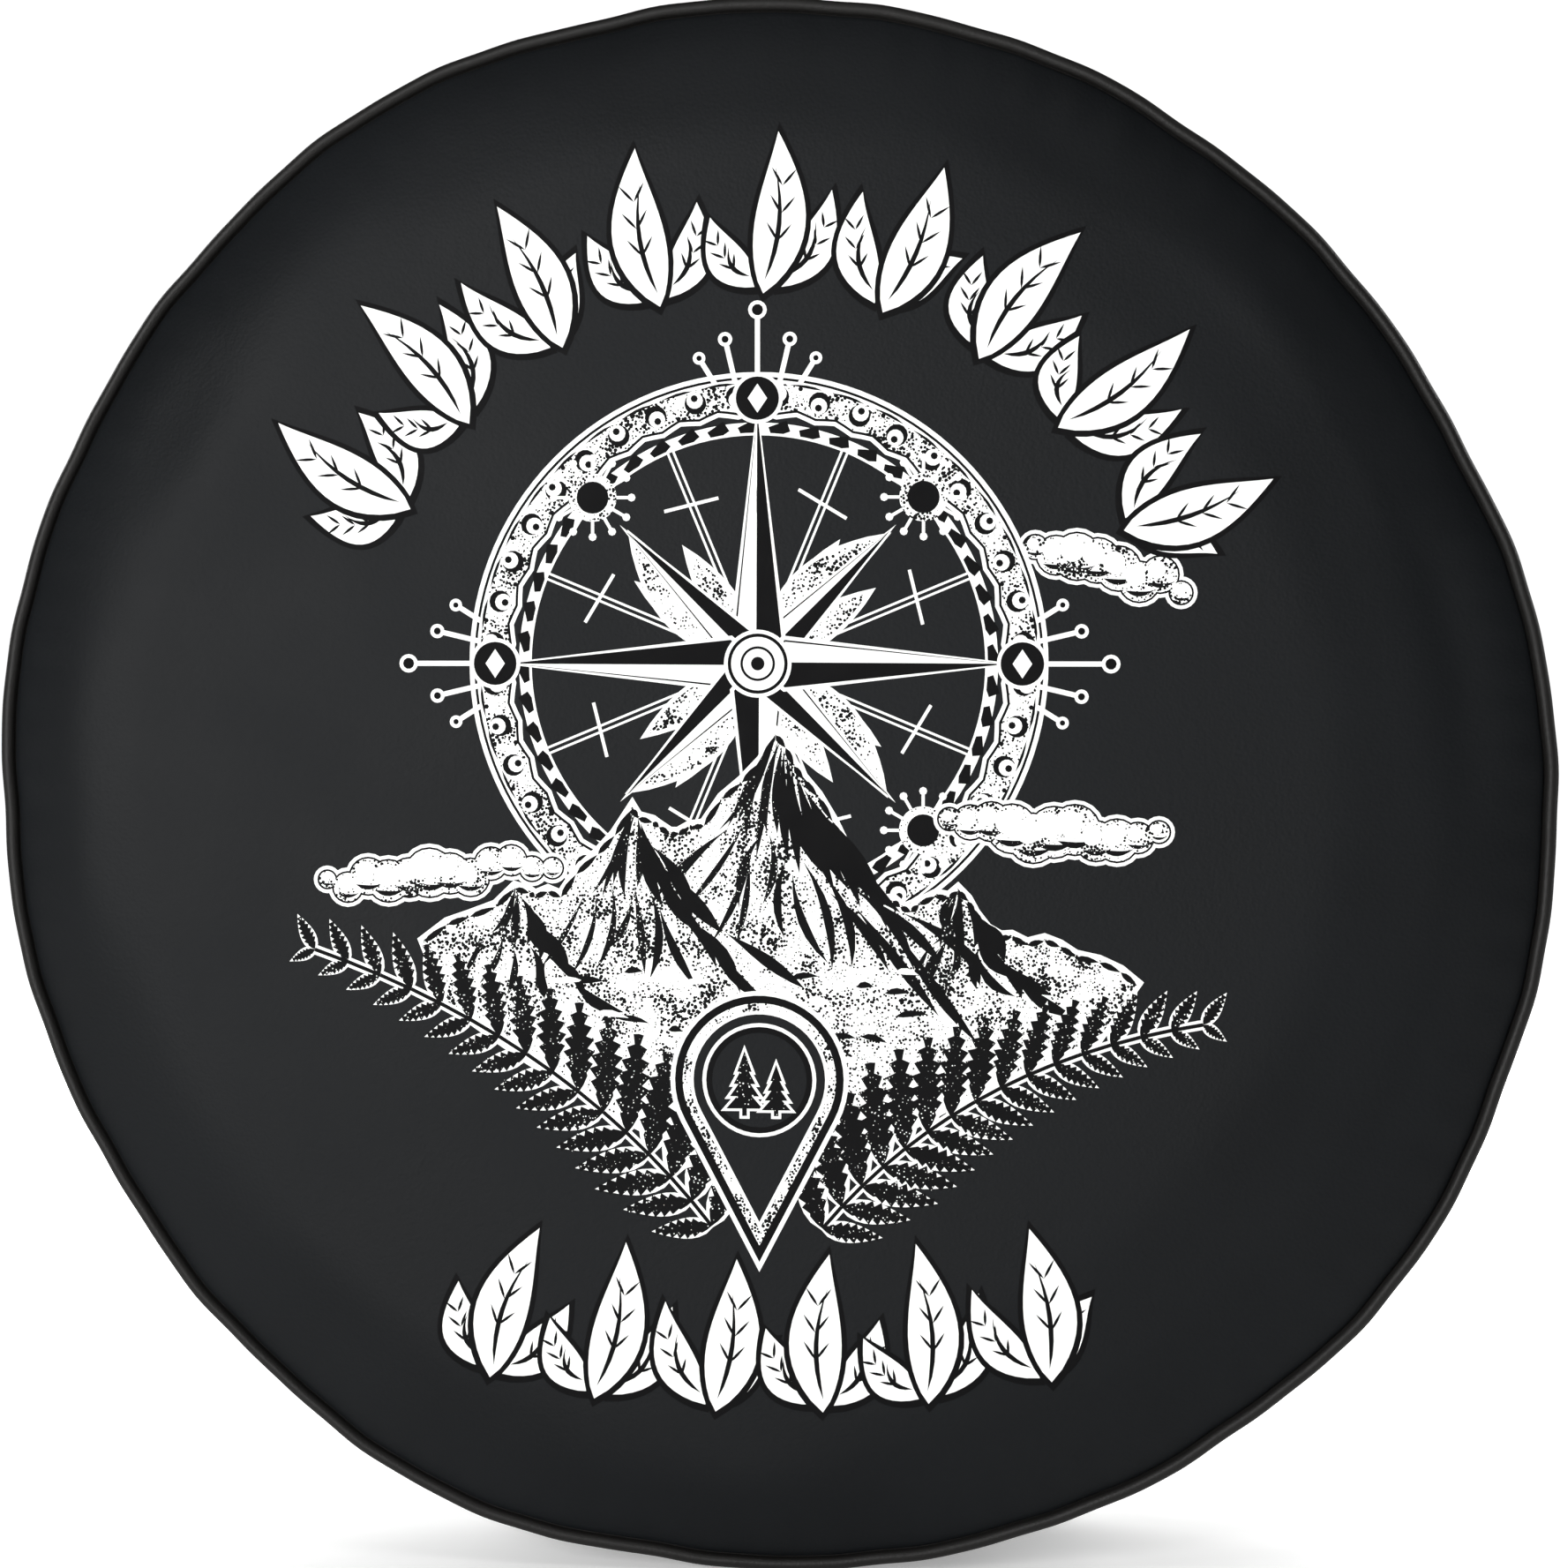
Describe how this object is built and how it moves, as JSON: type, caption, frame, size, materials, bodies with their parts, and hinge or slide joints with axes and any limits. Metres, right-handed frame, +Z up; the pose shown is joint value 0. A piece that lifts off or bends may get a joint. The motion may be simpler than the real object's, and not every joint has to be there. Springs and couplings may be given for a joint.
{
  "type": "spare tire cover",
  "caption": "Round slip-on cover for a spare tyre: printed vinyl face disc, piped seam, tread band and an elastic hem at the open back.",
  "frame": {"origin": "middle of the tyre's own space: on the cover's axis, half way between the tyre's sidewalls", "axes": "+Y along the cover's axis from the printed face to the open back, +Z up as worn on an upright tyre, +X to the right seen from the printed face"},
  "size_m": [0.7452, 0.2301, 0.7452],
  "materials": {
    "vinyl_black": "satin",
    "vinyl_piping": "satin",
    "fleece_backing": "matte",
    "piping_filler": "matte",
    "thread_black": "matte",
    "binding_tape": "matte",
    "elastic_black": "matte",
    "crimp_steel": "satin",
    "ink_white": "satin",
    "ink_black": "satin"
  },
  "bodies": {
    "front": {"face_panel": "vinyl_black", "face_backing": "fleece_backing", "welt_cover": "vinyl_piping", "welt_cord": "piping_filler", "seam_needle_thread": "thread_black", "seam_bobbin_thread": "thread_black", "side_band_upper": "vinyl_black", "side_band_lower": "vinyl_black", "band_backing_upper": "fleece_backing", "band_backing_lower": "fleece_backing", "join_thread_right_high": "thread_black", "join_thread_right_low": "thread_black", "join_thread_left_high": "thread_black", "join_thread_left_low": "thread_black"},
    "rear_hem": {"hem_binding": "binding_tape", "elastic_cord": "elastic_black", "elastic_crimp": "crimp_steel", "hem_needle_thread": "thread_black", "hem_bobbin_thread": "thread_black"}
  },
  "joints": [
    {"name": "hem_travel", "type": "slide", "parent": "front", "child": "rear_hem", "axis": [0, -1, 0], "range_m": [0, 0.175], "deforming": ["side_band_upper", "side_band_lower", "band_backing_upper", "band_backing_lower", "join_thread_right_high", "join_thread_right_low", "join_thread_left_high", "join_thread_left_low"]}
  ]
}
